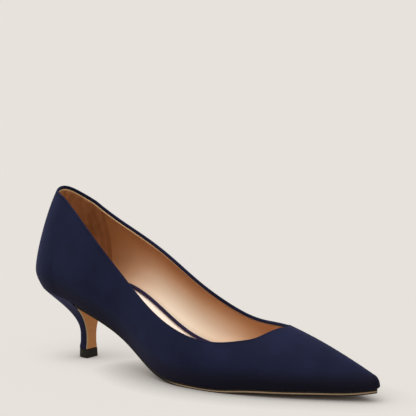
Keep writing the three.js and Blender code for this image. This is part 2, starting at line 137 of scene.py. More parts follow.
TOPLINE = [
    [0.00, 0.686, 0.686],
    [0.13, 0.604, 0.523],
    [0.27, 0.460, 0.359],
    [0.43, 0.305, 0.349],
    [0.60, 0.303, 0.409],
    [0.75, 0.303, 0.336],
    [0.87, 0.401, 0.504],
    [0.93, 0.512, 0.609],
    [0.97, 0.681, 0.746],
    [1.00, 1.000, 1.000],
]
STEPS = {"heel": 28, "quarter": 110, "vamp": 44, "toe": 12, "low": 10, "high": 34}
OUTER = -1
INNER = 1


# Curves through the tables

def natural_spline(xs, ys):
    count = len(xs)
    matrix = np.eye(count)
    turns = np.zeros(count)
    for i in range(1, count - 1):
        before = xs[i] - xs[i - 1]
        after = xs[i + 1] - xs[i]
        matrix[i, i - 1] = before
        matrix[i, i] = 2 * (before + after)
        matrix[i, i + 1] = after
        turns[i] = 6 * ((ys[i + 1] - ys[i]) / after - (ys[i] - ys[i - 1]) / before)
    bend = np.linalg.solve(matrix, turns)

    def at(x):
        i = 0
        while i < count - 2 and x > xs[i + 1]:
            i += 1
        span = xs[i + 1] - xs[i]
        a = (xs[i + 1] - x) / span
        b = 1 - a
        curve = (a ** 3 - a) * bend[i] + (b ** 3 - b) * bend[i + 1]
        return a * ys[i] + b * ys[i + 1] + curve * span * span / 6

    return at


def column_curves(names, rows, reach, sizes):
    xs = [row[0] * reach for row in rows]
    curves = {}
    for i, name in enumerate(names, 1):
        curves[name] = natural_spline(xs, [row[i] * sizes.get(name, 1) for row in rows])
    return curves


last = column_curves(list(SECTION_SIZE), SECTIONS, LENGTH, SECTION_SIZE)
topline = column_curves(["outer", "inner"], TOPLINE, THROAT_AT, {})


def mix(a, b, share):
    return a + (b - a) * share


def clamp(value, low, high):
    return min(high, max(low, value))


def ease(share):
    share = clamp(share, 0, 1)
    return share * share * (3 - 2 * share)


def half_width(side):
    return last["outer"] if side == OUTER else last["inner"]


def foot_height(x, y):
    outer = last["outer"](x)
    across = clamp((y - last["centre"](x) + outer) / (outer + last["inner"](x)), 0, 1)
    return last["base"](x) + max(0, last["arch"](x)) * across ** 3


def toe_lean(x):
    return TAPER * ease((x - TAPER_FROM) / (LENGTH - TOE_ROUND - TAPER_FROM))


def edge_reach(x, side, lean):
    width = half_width(side)
    reach = width(x)
    for _ in range(4):
        reach = width(x + reach * math.sin(lean)) / math.cos(lean)
    return reach


def station(kind, q, side):
    """Where a station of the wall stands: x, y, reach, outward direction and its own share."""
    if kind == "heel":
        out = (-math.cos(q), side * math.sin(q))
        width = half_width(side)(HEEL_ROUND)
        reach = 1 / math.hypot(out[0] / HEEL_ROUND, out[1] / width)
        return HEEL_ROUND, last["centre"](HEEL_ROUND), reach, out, math.sin(q)
    if kind == "toe":
        x = LENGTH - TOE_ROUND
        share = q / (math.pi / 2)
        angle = share * (math.pi / 2 - TAPER)
        reach = mix(TOE_ROUND, edge_reach(x, side, TAPER), ease(share))
        return x, last["centre"](x), reach, (math.cos(angle), side * math.sin(angle)), ease(share)
    lean = toe_lean(q)
    out = (math.sin(lean), side * math.cos(lean))
    return q, last["centre"](q), edge_reach(q, side, lean), out, 1.0


def foot_point(place, inset):
    x, y, reach, out, _ = place
    return x + (reach - inset) * out[0], y + (reach - inset) * out[1]


def side_share(outer, inner, side, own):
    return mix((outer + inner) / 2, outer if side == OUTER else inner, own)


def station_list():
    heel = [("heel", math.pi / 2 * i / STEPS["heel"]) for i in range(STEPS["heel"])]
    quarter = []
    for i in range(STEPS["quarter"]):
        share = i / STEPS["quarter"]
        closer = mix(share, math.sin(math.pi / 2 * share), 0.5)
        quarter.append(("side", mix(HEEL_ROUND, THROAT_AT, closer)))
    vamp = []
    for i in range(STEPS["vamp"]):
        vamp.append(("side", mix(THROAT_AT, LENGTH - TOE_ROUND, i / STEPS["vamp"])))
    toe = [("toe", math.pi / 2 * (1 - i / STEPS["toe"])) for i in range(STEPS["toe"] + 1)]
    return heel + quarter + vamp + toe


def wall_column(kind, q, side):
    """Points of the wall's outer face, from the feather line up to the topline or the crest."""
    place = station(kind, q, side)
    x0, y0, reach, out, own = place
    foot_x, foot_y = foot_point(place, 0)
    x = min(foot_x, LENGTH)
    foot = foot_height(x, foot_y)
    swell = side_share(last["outer_swell"](x), last["inner_swell"](x), side, own)
    swell_at = last["swell_at"](x)
    crest_height = last["base"](x0) + last["rise"](x0) - foot
    cut = 1.0
    if x0 < THROAT_AT:
        cut = min(1.0, side_share(topline["outer"](x), topline["inner"](x), side, own))
    reaches = []
    heights = []
    for i in range(STEPS["low"]):
        t = i / STEPS["low"]
        reaches.append(reach + swell * math.sin(math.pi / 2 * t))
        heights.append(swell_at * t)
    shoulder = last["shoulder"](x)
    crest = last["crest"](x)
    for i in range(STEPS["high"] + 1):
        u = cut * i / STEPS["high"]
        v = 1 - u
        reaches.append((reach + swell) * (v ** 3 + 3 * v * v * u + 3 * v * u * u * crest))
        climb = 3 * v * v * u * shoulder + 3 * v * u * u + u ** 3
        heights.append(swell_at + climb * (crest_height - swell_at))
    reaches = np.array(reaches)
    heights = np.array(heights)
    return np.stack([x0 + reaches * out[0], y0 + reaches * out[1], foot + heights], axis=1)


# Meshes

KEYS_PER_MM = 2000


def point_key(point):
    """The same key for points that are meant to be one."""
    return tuple(round(float(value) * KEYS_PER_MM) for value in point)


class Sheet:
    """Grids of faces that share the points where they meet. Each corner keeps its own uv."""

    def __init__(self):
        self.points = []
        self.faces = []
        self.uvs = []
        self.slots = []
        self.known = {}

    def point(self, p):
        key = point_key(p)
        if key not in self.known:
            self.known[key] = len(self.points)
            self.points.append([float(p[0]), float(p[1]), float(p[2])])
        return self.known[key]

    def grid(self, rows, uv, flip=False, slot=0):
        ids = [[self.point(p) for p in row] for row in rows]
        for i in range(len(ids) - 1):
            for j in range(len(ids[i]) - 1):
                places = [(i, j), (i + 1, j), (i + 1, j + 1), (i, j + 1)]
                if flip:
                    places.reverse()
                corners = []
                for a, b in places:
                    if ids[a][b] not in [corner[0] for corner in corners]:
                        corners.append((ids[a][b], uv[a][b]))
                if len(corners) > 2:
                    self.faces.append([corner[0] for corner in corners])
                    self.uvs.append([corner[1] for corner in corners])
                    self.slots.append(slot)
        return ids

    def normals(self):
        points = np.array(self.points)
        normals = np.zeros_like(points)
        for face in self.faces:
            a, b = points[face[0]], points[face[2]]
            c, d = points[face[1]], points[face[-1]]
            normals[face] += np.cross(b - a, d - c)
        return normals / np.maximum(np.linalg.norm(normals, axis=1, keepdims=True), 1e-9)


def lengths_along(points, axis):
    """Distance run along one axis of a grid of points, from its first row or column."""
    steps = np.linalg.norm(np.diff(points, axis=axis), axis=2)
    start = np.zeros_like(steps[:1] if axis == 0 else steps[:, :1])
    return np.cumsum(np.concatenate([start, steps], axis=axis), axis=axis)


def grid_uv(points):
    """Corner coordinates in millimetres, along and up a grid."""
    return np.stack([lengths_along(points, 0), lengths_along(points, 1)], axis=2)


def to_object(name, sheet, materials, smooth=True):
    mesh = bpy.data.meshes.new(name)
    points = (np.array(sheet.points) + [ORIGIN_SHIFT, 0, 0]) * METRES
    mesh.from_pydata(points.tolist(), [], sheet.faces)
    layer = mesh.uv_layers.new(name="run")
    flat = [value * METRES for face in sheet.uvs for corner in face for value in corner]
    layer.data.foreach_set("uv", flat)
    for material in materials:
        mesh.materials.append(material)
    mesh.polygons.foreach_set("material_index", sheet.slots)
    mesh.polygons.foreach_set("use_smooth", [smooth] * len(mesh.polygons))
    mesh.validate()
    mesh.update()
    piece = bpy.data.objects.new(name, mesh)
    bpy.context.scene.collection.objects.link(piece)
    return piece


def finish_piece(piece, node):
    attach(piece, "root")
    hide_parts(node)


# Materials

def new_material(name):
    material = bpy.data.materials.new(name)
    material.use_nodes = True
    nodes = material.node_tree.nodes
    links = material.node_tree.links
    return material, nodes, links, nodes["Principled BSDF"]


def add_node(nodes, kind, **values):
    node = nodes.new(kind)
    for key, value in values.items():
        if key in node.inputs:
            node.inputs[key].default_value = value
        else:
            setattr(node, key, value)
    return node


def uv_in_mm(nodes, links):
    """Corner coordinates, scaled back to millimetres."""
    uv = add_node(nodes, "ShaderNodeUVMap", uv_map="run")
    scale = add_node(nodes, "ShaderNodeVectorMath", operation="SCALE")
    scale.inputs["Scale"].default_value = 1 / METRES
    links.new(uv.outputs["UV"], scale.inputs[0])
    return scale.outputs["Vector"]


def place_in_mm(nodes, links):
    """Position in the row frame, in millimetres."""
    place = nodes.new("ShaderNodeTexCoord")
    scale = add_node(nodes, "ShaderNodeVectorMath", operation="SCALE")
    scale.inputs["Scale"].default_value = 1 / METRES
    links.new(place.outputs["Object"], scale.inputs[0])
    return scale.outputs["Vector"]


def noise(nodes, links, vector, scale, detail=3.0, roughness=0.5):
    node = nodes.new("ShaderNodeTexNoise")
    node.inputs["Scale"].default_value = scale
    node.inputs["Detail"].default_value = detail
    node.inputs["Roughness"].default_value = roughness
    links.new(vector, node.inputs["Vector"])
    return node.outputs["Fac"]


def stretched(nodes, links, vector, scale):
    node = nodes.new("ShaderNodeVectorMath")
    node.operation = "MULTIPLY"
    node.inputs[1].default_value = scale
    links.new(vector, node.inputs[0])
    return node.outputs["Vector"]


def math_node(nodes, links, operation, a, b=None):
    node = nodes.new("ShaderNodeMath")
    node.operation = operation
    for socket, value in zip(node.inputs, (a, b)):
        if value is None:
            continue
        if isinstance(value, (int, float)):
            socket.default_value = value
        else:
            links.new(value, socket)
    return node.outputs["Value"]


def colour_ramp(nodes, links, factor, stops):
    node = nodes.new("ShaderNodeValToRGB")
    elements = node.color_ramp.elements
    while len(elements) < len(stops):
        elements.new(0.5)
    for element, (at, colour) in zip(elements, stops):
        element.position = at
        element.color = (*colour, 1)
    links.new(factor, node.inputs["Fac"])
    return node.outputs["Color"]


def mixed(nodes, links, factor, a, b, blend="MIX"):
    node = nodes.new("ShaderNodeMix")
    node.data_type = "RGBA"
    node.blend_type = blend
    for socket, value in ((node.inputs[0], factor), (node.inputs[6], a), (node.inputs[7], b)):
        if isinstance(value, (int, float)):
            socket.default_value = value
        elif isinstance(value, tuple):
            socket.default_value = (*value, 1)
        else:
            links.new(value, socket)
    return node.outputs[2]


def bump(nodes, links, shader, height, distance, strength=1.0):
    node = nodes.new("ShaderNodeBump")
    node.inputs["Distance"].default_value = distance
    node.inputs["Strength"].default_value = strength
    links.new(height, node.inputs["Height"])
    links.new(node.outputs["Normal"], shader.inputs["Normal"])


def map_range(nodes, links, value, low, high):
    """0 up to low, 1 from high on, and smooth between."""
    node = nodes.new("ShaderNodeMapRange")
    node.interpolation_type = "SMOOTHSTEP"
    node.inputs["From Min"].default_value = low
    node.inputs["From Max"].default_value = high
    links.new(value, node.inputs["Value"])
    return node.outputs["Result"]


def separate(nodes, links, vector):
    node = nodes.new("ShaderNodeSeparateXYZ")
    links.new(vector, node.inputs[0])
    return node.outputs["X"], node.outputs["Y"], node.outputs["Z"]


def fabric(name, dark, light, thread, sheen, shade_band=None):
    """Fine twill: slanting ribs crossed by threads, with soft mottling.

    Painted shade: the cloth is darker over the feather line up to the first of the two heights given for the
    band, and its own colour from the second.
    """
    material, nodes, links, shader = new_material(name)
    uv = uv_in_mm(nodes, links)
    place = place_in_mm(nodes, links)
    u, v, _ = separate(nodes, links, uv)
    turns = 2 * math.pi / thread
    slant = math_node(nodes, links, "ADD", u, v)
    ribs = math_node(nodes, links, "SINE", math_node(nodes, links, "MULTIPLY", slant, turns))
    cross = math_node(nodes, links, "SUBTRACT", u, v)
    threads = math_node(nodes, links, "SINE", math_node(nodes, links, "MULTIPLY", cross, turns * 1.7))
    weave = math_node(nodes, links, "ADD", ribs, math_node(nodes, links, "MULTIPLY", threads, 0.5))
    weave = math_node(nodes, links, "MULTIPLY_ADD", weave, 0.3)
    slub = noise(nodes, links, stretched(nodes, links, uv, (0.6, 3.0, 1.0)), 1.0, 4.0, 0.6)
    height = math_node(nodes, links, "ADD", weave, math_node(nodes, links, "MULTIPLY", slub, 0.9))
    patches = noise(nodes, links, place, 0.05, 3.0, 0.6)
    fleck = math_node(nodes, links, "MULTIPLY", slub, 0.45)
    shade = math_node(nodes, links, "ADD", math_node(nodes, links, "MULTIPLY", patches, 0.75), fleck)
    base = colour_ramp(nodes, links, shade, [(0.3, dark), (0.85, light)])
    # Painted shade low on the cloth, near the feather line
    if shade_band:
        unshaded = map_range(nodes, links, v, *shade_band)
        base = mixed(nodes, links, unshaded, NAVY_SHADED, base)
    links.new(base, shader.inputs["Base Color"])
    shader.inputs["Roughness"].default_value = 0.78
    shader.inputs["Specular IOR Level"].default_value = 0.06
    shader.inputs["Sheen Weight"].default_value = sheen
    shader.inputs["Sheen Roughness"].default_value = 0.45
    shader.inputs["Sheen Tint"].default_value = (0.30, 0.32, 0.80, 1)
    bump(nodes, links, shader, height, 0.00006, 0.6)
    return material


def leather(name, stops, grain, roughness, depth):
    """Smooth leather: pores over a slow change of colour."""
    material, nodes, links, shader = new_material(name)
    place = place_in_mm(nodes, links)
    pores = nodes.new("ShaderNodeTexVoronoi")
    pores.inputs["Scale"].default_value = grain
    links.new(place, pores.inputs["Vector"])
    slow = noise(nodes, links, place, 0.06, 4.0, 0.6)
    fine = noise(nodes, links, place, grain * 0.7, 3.0, 0.6)
    shade = math_node(nodes, links, "ADD", math_node(nodes, links, "MULTIPLY", slow, 0.7),
                      math_node(nodes, links, "MULTIPLY", fine, 0.3))
    base = colour_ramp(nodes, links, shade, stops)
    links.new(base, shader.inputs["Base Color"])
    shader.inputs["Roughness"].default_value = roughness
    shader.inputs["Specular IOR Level"].default_value = 0.35
    height = math_node(nodes, links, "ADD", pores.outputs["Distance"],
                       math_node(nodes, links, "MULTIPLY", fine, 0.8))
    bump(nodes, links, shader, height, depth, 0.5)
    return material


NAVY_DARK = (0.0058, 0.0072, 0.0190)
NAVY_LIGHT = (0.0112, 0.0138, 0.0405)
# Colour of the painted shade low on the cover
NAVY_SHADED = (0.0070, 0.0064, 0.0125)
HEEL_NAVY = ((0.0075, 0.0070, 0.0190), (0.0150, 0.0145, 0.0400))
CORD_NAVY = ((0.014, 0.010, 0.032), (0.028, 0.021, 0.060))
THREAD = 0.42
CORD_THREAD = 0.5
# Heights in mm over the feather line: full painted shade up to the first, none from the second
SHADE_UP_TO = (3, 17)
cover_fabric = fabric("cover_fabric", NAVY_DARK, NAVY_LIGHT, THREAD, 0.09, SHADE_UP_TO)
heel_fabric = fabric("heel_cover_fabric", *HEEL_NAVY, THREAD, 0.16)
cord_fabric = fabric("cord_fabric", *CORD_NAVY, CORD_THREAD, 0.12)

# Where the lining's painted pool of light lies: its middle along the last, its reach, and the heights over
# the foot where it fades into painted shade
LIT_LOBE_AT = 97
LIT_LOBE_REACH = 80
LIT_LOBE_LOW = 4
LIT_LOBE_HIGH = 40
# Lining colours from painted shade, brown, up to painted light, pale
LINING_SHADE_STOPS = [
    (0.0, (0.40, 0.160, 0.057)),
    (0.25, (0.54, 0.290, 0.155)),
    (0.5, (0.67, 0.445, 0.295)),
    (1.0, (0.80, 0.665, 0.51)),
]


def painted_light_lining():
    """Vegetable-tanned leather with painted light and shade: a pale painted pool of light over the arch, low
    on the wall, and browner painted shade towards the topline and the throat.
    """
    material, nodes, links, shader = new_material("lining_leather")
    along, over, _ = separate(nodes, links, uv_in_mm(nodes, links))
    place = place_in_mm(nodes, links)
    # Painted light: pale low on the wall and near the middle of the lobe, painted shade higher up and
    # further along
    high = map_range(nodes, links, over, LIT_LOBE_LOW, LIT_LOBE_HIGH)
    off = math_node(nodes, links, "ABSOLUTE", math_node(nodes, links, "SUBTRACT", along, LIT_LOBE_AT))
    far = map_range(nodes, links, off, 0, LIT_LOBE_REACH)
    pale = math_node(nodes, links, "MULTIPLY", math_node(nodes, links, "SUBTRACT", 1, high),
                     math_node(nodes, links, "SUBTRACT", 1, far))
    slow = noise(nodes, links, place, 0.05, 4.0, 0.6)
    fine = noise(nodes, links, place, 1.6, 3.0, 0.6)
    waver = math_node(nodes, links, "MULTIPLY", math_node(nodes, links, "SUBTRACT", slow, 0.5), 0.10)
    grain = math_node(nodes, links, "MULTIPLY", math_node(nodes, links, "SUBTRACT", fine, 0.5), 0.06)
    shade = math_node(nodes, links, "ADD", pale, math_node(nodes, links, "ADD", waver, grain))
    links.new(colour_ramp(nodes, links, shade, LINING_SHADE_STOPS), shader.inputs["Base Color"])
    shader.inputs["Roughness"].default_value = 0.6
    shader.inputs["Specular IOR Level"].default_value = 0.15
    bump(nodes, links, shader, fine, 0.00004, 0.5)
    return material


lining_leather = painted_light_lining()
sock_leather = leather(
    "sock_leather", [(0.3, (0.96, 0.79, 0.64)), (0.7, (0.98, 0.84, 0.71))], 2.0, 0.5, 0.00005
)


BAND_PALE = (0.70, 0.44, 0.22)
BAND_BROWN = (0.36, 0.155, 0.062)
PALE_BAND_END = 30
BROWN_BAND_START = 95


def band_skin():
    """Bound edge of the lining, pale round the heel and browner along the waist."""
    material, nodes, links, shader = new_material("band_leather")
    along, _, _ = separate(nodes, links, uv_in_mm(nodes, links))
    brown = map_range(nodes, links, along, PALE_BAND_END, BROWN_BAND_START)
    fine = noise(nodes, links, place_in_mm(nodes, links), 1.6, 3.0, 0.6)
    skin = mixed(nodes, links, brown, BAND_PALE, BAND_BROWN)
    worn = colour_ramp(nodes, links, fine, [(0.3, (0.85, 0.85, 0.85)), (0.7, (1.0, 1.0, 1.0))])
    links.new(mixed(nodes, links, 1.0, skin, worn, "MULTIPLY"), shader.inputs["Base Color"])
    shader.inputs["Roughness"].default_value = 0.55
    shader.inputs["Specular IOR Level"].default_value = 0.2
    bump(nodes, links, shader, fine, 0.00004, 0.5)
    return material


SEAM_FROM = 2.6
SEAM_FULL = 1.2
SEAM_BROWN = (0.30, 0.114, 0.039)


def suede():
    """Napped brown suede, a little darker along its front edge."""
    material, nodes, links, shader = new_material("grip_suede")
    place = place_in_mm(nodes, links)
    nap = noise(nodes, links, place, 2.6, 6.0, 0.75)
    strokes = noise(nodes, links, stretched(nodes, links, place, (0.16, 0.16, 0.07)), 1.0, 4.0, 0.65)
    shade = math_node(nodes, links, "ADD", math_node(nodes, links, "MULTIPLY", nap, 0.3),
                      math_node(nodes, links, "MULTIPLY", strokes, 0.7))
    base = colour_ramp(nodes, links, shade, [(0.36, (0.27, 0.102, 0.032)), (0.64, (0.47, 0.195, 0.080))])
    x, _, _ = separate(nodes, links, place)
    edge = GRIP_REACH + ORIGIN_SHIFT
    seam = map_range(nodes, links, x, edge - SEAM_FROM, edge - SEAM_FULL)
    base = mixed(nodes, links, seam, base, SEAM_BROWN)
    links.new(base, shader.inputs["Base Color"])
    shader.inputs["Roughness"].default_value = 0.95
    shader.inputs["Specular IOR Level"].default_value = 0.1
    shader.inputs["Sheen Weight"].default_value = 0.08
    shader.inputs["Sheen Roughness"].default_value = 0.5
    shader.inputs["Sheen Tint"].default_value = (0.9, 0.65, 0.4, 1)
    bump(nodes, links, shader, nap, 0.00012, 0.7)
    return material


def sole_leather():
    """Natural leather with fibres that run along the sole."""
    material, nodes, links, shader = new_material("sole_leather")
    place = place_in_mm(nodes, links)
    fibres = noise(nodes, links, stretched(nodes, links, place, (0.08, 0.6, 0.6)), 1.0, 5.0, 0.65)
    fine = noise(nodes, links, place, 1.8, 4.0, 0.6)
    shade = math_node(nodes, links, "ADD", math_node(nodes, links, "MULTIPLY", fibres, 0.65),
                      math_node(nodes, links, "MULTIPLY", fine, 0.35))
    base = colour_ramp(nodes, links, shade, [(0.3, (0.43, 0.190, 0.055)), (0.7, (0.60, 0.285, 0.095))])
    links.new(base, shader.inputs["Base Color"])
    shader.inputs["Roughness"].default_value = 0.5
    shader.inputs["Specular IOR Level"].default_value = 0.2
    bump(nodes, links, shader, fine, 0.00005, 0.5)
    return material


# Black of the ink round the waist, also used for the painted shade lines along the edge in front
EDGE_INK_AND_SHADE = (0.006, 0.005, 0.005)
EDGE_TAN = (0.40, 0.28, 0.165)
INK_END = 122
# Shares of the edge's height in front: painted crevice shade above the first, painted contact shadow below
# the second
CREVICE_SHADE_SHARE = 0.40
CONTACT_SHADE_FROM = 0.74
INK_FADE = 24
FLAP_EDGE = 2.6


def sole_edge():
    """Trimmed edge: inked black round the waist; in front, natural leather between painted shade in the
    crevice under the upper and a painted contact shadow along the bottom.

    The flap's edge, behind the breast, is natural leather too.
    """
    material, nodes, links, shader = new_material("sole_edge")
    _, v, _ = separate(nodes, links, uv_in_mm(nodes, links))
    place = place_in_mm(nodes, links)
    x, _, _ = separate(nodes, links, place)
    layers = noise(nodes, links, stretched(nodes, links, place, (0.15, 0.15, 4.0)), 1.0, 4.0, 0.6)
    tan = colour_ramp(nodes, links, layers, [(0.3, tuple(0.72 * c for c in EDGE_TAN)), (0.7, EDGE_TAN)])
    ink_end = INK_END + ORIGIN_SHIFT
    front = map_range(nodes, links, x, ink_end, ink_end + INK_FADE)
    # Painted shade: the crevice under the upper above this share, the contact with the floor below the next
    below = map_range(nodes, links, v, CREVICE_SHADE_SHARE - 0.06, CREVICE_SHADE_SHARE + 0.06)
    low = map_range(nodes, links, v, CONTACT_SHADE_FROM - 0.08, CONTACT_SHADE_FROM + 0.08)
    line = math_node(nodes, links, "MULTIPLY", below, math_node(nodes, links, "SUBTRACT", 1, low))
    trimmed = math_node(nodes, links, "MULTIPLY", front, line)
    ink_start = BREAST_AT + ORIGIN_SHIFT + FLAP_EDGE
    flap = math_node(nodes, links, "SUBTRACT", 1, map_range(nodes, links, x, ink_start, ink_start + 1))
    bare = math_node(nodes, links, "MAXIMUM", trimmed, flap)
    base = mixed(nodes, links, bare, EDGE_INK_AND_SHADE, tan)
    links.new(base, shader.inputs["Base Color"])
    shader.inputs["Roughness"].default_value = 0.5
    shader.inputs["Specular IOR Level"].default_value = 0.15
    bump(nodes, links, shader, layers, 0.00005, 0.6)
    return material


def rubber():
    """Satin black rubber."""
    material, nodes, links, shader = new_material("tip_rubber")
    place = place_in_mm(nodes, links)
    fine = noise(nodes, links, place, 3.0, 4.0, 0.6)
    base = colour_ramp(nodes, links, fine, [(0.3, (0.008, 0.0065, 0.0045)), (0.7, (0.014, 0.012, 0.009))])
    links.new(base, shader.inputs["Base Color"])
    shader.inputs["Roughness"].default_value = 0.5
    shader.inputs["Specular IOR Level"].default_value = 0.15
    bump(nodes, links, shader, fine, 0.00004, 0.5)
    return material


# Upper: the fabric cover with its folded topline, the lining and the heel grip

def upper_grids():
    grids = []
    for side in (OUTER, INNER):
        columns = np.array([wall_column(kind, q, side) for kind, q in station_list()])
        uv = grid_uv(columns)
        uv[:, :, 0] *= side
        grids.append((side, columns, uv))
    return grids


def topline_loop(grids):
    """Indices of the topline's columns, from the heel round the outer side, and back by the inner."""
    count = STEPS["heel"] + STEPS["quarter"]
    outer = grids[0][1][: count + 1, -1]
    inner = grids[1][1][1:count, -1][::-1]
    return np.concatenate([outer, inner])


def unit(vectors):
    return vectors / np.maximum(np.linalg.norm(vectors, axis=-1, keepdims=True), 1e-9)


grids = upper_grids()
outside = Sheet()
for side, columns, uv in grids:
    outside.grid(columns, uv, flip=side == INNER)
outside_points = np.array(outside.points)
outside_normals = outside.normals()


def normal_at(point):
    return outside_normals[outside.known[point_key(point)]]


rim = topline_loop(grids)
rim_normals = np.array([normal_at(point) for point in rim])
rim_along = unit(np.roll(rim, -1, axis=0) - np.roll(rim, 1, axis=0))
rim_up = unit(np.cross(rim_along, rim_normals))
rim_run = np.concatenate([[0], np.cumsum(np.linalg.norm(np.diff(rim, axis=0), axis=1))])
if rim_up[0][2] < 0:
    rim_up = -rim_up


def drawn_back(points, drop, reach):
    """Points near the topline, drawn away from the opening by drop at the topline and less further off."""
    moved = points.copy()
    for i, point in enumerate(points):
        gaps = np.linalg.norm(rim - point, axis=1)
        nearest = int(np.argmin(gaps))
        share = max(0.0, 1 - gaps[nearest] / reach)
        if share > 0:
            moved[i] = point - rim_up[nearest] * drop * share
    return moved


def moved_points(points):
    """Where each point of the outside has moved to."""
    return {point_key(a): b for a, b in zip(outside_points, points)}


def looked_up(points, moved):
    """A grid of points of the outside, at the places that they have moved to."""
    flat = points.reshape(-1, 3)
    return np.array([moved[point_key(point)] for point in flat]).reshape(points.shape)


def cover_sheet():
    """The outside, its turned topline and the lasting margin tucked under at the feather line."""
    sheet = Sheet()
    face = moved_points(drawn_back(outside_points, FOLD_DROP, FOLD_REACH))
    for side, columns, uv in grids:
        sheet.grid(looked_up(columns, face), uv, flip=side == INNER)
    edge = rim - rim_up * FOLD_DROP
    centre = edge - rim_normals * FOLD_RADIUS
    rows = [edge]
    turn = 10
    for i in range(1, turn + 1):
        angle = math.pi * i / turn
        rows.append(centre + FOLD_RADIUS * (math.cos(angle) * rim_normals + math.sin(angle) * rim_up))
    for depth in FOLD_DEPTHS:
        rows.append(edge - 2 * FOLD_RADIUS * rim_normals - depth * rim_up)
    rows = np.array([np.concatenate([row, row[:1]]) for row in rows])
    run = np.append(rim_run, rim_run[-1] + np.linalg.norm(rim[0] - rim[-1]))
    down = np.concatenate([[0], np.cumsum(np.linalg.norm(np.diff(rows[:, 0], axis=0), axis=1))])
    # The fold's v starts far above the feather line, so the painted shade low on the cover stays off it
    uv = np.array([[(along, over + FOLD_RUN) for along in run] for over in down])
    sheet.grid(rows, uv)
    for side, columns, uv in grids:
        places = [station(kind, q, side) for kind, q in station_list()]
        tuck = []
        for place, column in zip(places, columns):
            foot = column[0]
            row = [foot]
            for inset, drop in TUCK:
                x, y = foot_point(place, min(inset, place[2] * 0.9))
                row.append(np.array([x, y, foot_height(min(x, LENGTH), y) - drop]))
            tuck.append(row)
        tuck = np.array(tuck)
        sheet.grid(tuck, grid_uv(tuck) * [side, -1], flip=side == OUTER)
    return sheet


def lining_points(thickness, drop):
    """The lining's inner face: the outside moved in, and drawn back from the topline."""
    over = np.array([z - foot_height(min(x, LENGTH), y) for x, y, z in outside_points])
    cove = np.clip(1 - np.maximum(0, over - COVE_FROM) / COVE_HEIGHT, 0, 1)
    inward = WALL + thickness + COVE * cove ** 2
    moved = outside_points - outside_normals * inward[:, None]
    back = drawn_back(outside_points, drop, LINING_REACH) - outside_points
    return moved + back


def over_foot(points):
    """Corner coordinates of the lining: how far along the last, and how high over the foot."""
    uv = np.zeros((*points.shape[:2], 2))
    for i, row in enumerate(points):
        for j, (x, y, z) in enumerate(row):
            uv[i, j] = x, z - foot_height(min(x, LENGTH), y)
    return uv


def lining_sheet():
    """The lining in slot 0, and its bound edge, which stands a little proud, in slot 1."""
    sheet = Sheet()
    face = moved_points(lining_points(LINING, LINING_DROP))
    for side, columns, _ in grids:
        sheet.grid(looked_up(columns, face), over_foot(columns), flip=side == OUTER)
    edge = looked_up(rim, face)
    rows = [
        edge - BAND * rim_up + 0.05 * rim_normals,
        edge - (BAND - 0.1) * rim_up - BAND_PROUD * rim_normals,
        edge - BAND_PROUD * rim_normals,
        edge + 0.15 * rim_up + 0.1 * rim_normals,
        edge + 0.2 * rim_up + (LINING + 0.1) * rim_normals,
    ]
    rows = np.array([np.concatenate([row, row[:1]]) for row in rows])
    sheet.grid(rows, over_foot(rows), flip=True, slot=1)
    return sheet


def grip_sheet():
    """Suede patch on the lining round the heel, with its front and top edges."""
    sheet = Sheet()
    face = moved_points(lining_points(LINING + GRIP, LINING_DROP + GRIP_DROP))
    under = moved_points(lining_points(LINING - 0.1, LINING_DROP + GRIP_DROP))
    count = STEPS["heel"] + sum(1 for kind, q in station_list() if kind == "side" and q < GRIP_REACH)
    low = STEPS["low"] // 2
    for side, columns, uv in grids:
        part = columns[: count + 1, low:]
        over = looked_up(part, face)
        below = looked_up(part, under)
        sheet.grid(over, uv[: count + 1, low:], flip=side == OUTER)
        front = np.array([over[-1], mix(over[-1], below[-1], 0.5) + [0.12, 0, 0], below[-1]])
        sheet.grid(front, grid_uv(front), flip=side == OUTER)
        top = np.stack([over[:, -1], below[:, -1]], axis=1)
        sheet.grid(top, grid_uv(top), flip=side == OUTER)
    return sheet


cover = to_object("upper_cover", cover_sheet(), [cover_fabric])
finish_piece(cover, "upper")
lining = to_object("upper_lining", lining_sheet(), [lining_leather, band_skin()])
finish_piece(lining, "upper")
grip = to_object("heel_grip", grip_sheet(), [suede()])
finish_piece(grip, "upper")


# Bottom pieces

def bottom_half(x, side, inset, toe):
    at = max(x, HEEL_ROUND)
    width = half_width(side)
    step = LENGTH / 500
    slope = (width(at + step) - width(at - step)) / (2 * step)
    into_heel = (at - x) / (HEEL_ROUND - inset)
    into_toe = max(0, x - (toe - TOE_ROUND)) / TOE_ROUND
    into = min(1, max(into_heel, into_toe))
    return (width(at) - inset * math.hypot(1, slope)) * math.sqrt(1 - into * into)


def bottom_row(x, inset, toe, height, across):
    centre = last["centre"](max(x, HEEL_ROUND))
    row = []
    for i in range(-across, across + 1):
        side = OUTER if i < 0 else INNER
        y = centre + bottom_half(x, side, inset, toe) * math.sin(math.pi / 2 * i / across)
        row.append((x, y, height(x, y)))
    return row


def bottom_stations(start, inset, toe, steps):
    stations = []
    if start < HEEL_ROUND:
        for i in range(STEPS["heel"]):
            turn = math.cos(math.pi / 2 * i / STEPS["heel"])
            stations.append(HEEL_ROUND - (HEEL_ROUND - inset) * turn)
    first = max(start, HEEL_ROUND)
    stations += [mix(first, toe - TOE_ROUND, i / steps) for i in range(steps)]
    stations += [toe - TOE_ROUND + TOE_ROUND * math.sin(math.pi / 2 * i / 10) for i in range(11)]
    return stations


SOCK_TOE = LENGTH - 3 * (WALL + EDGE_GAP)


def insole_top(x, y):
    """Height of the insole, thicker along its inner edge over a pad under the arch."""
    outer = last["outer"](x)
    across = clamp((y - last["centre"](x) + outer) / (outer + last["inner"](x)), 0, 1)
    along = ease(1 - abs(x - PAD_AT) / PAD_REACH)
    return foot_height(x, y) + INSOLE + ARCH_PAD * along * across ** 2


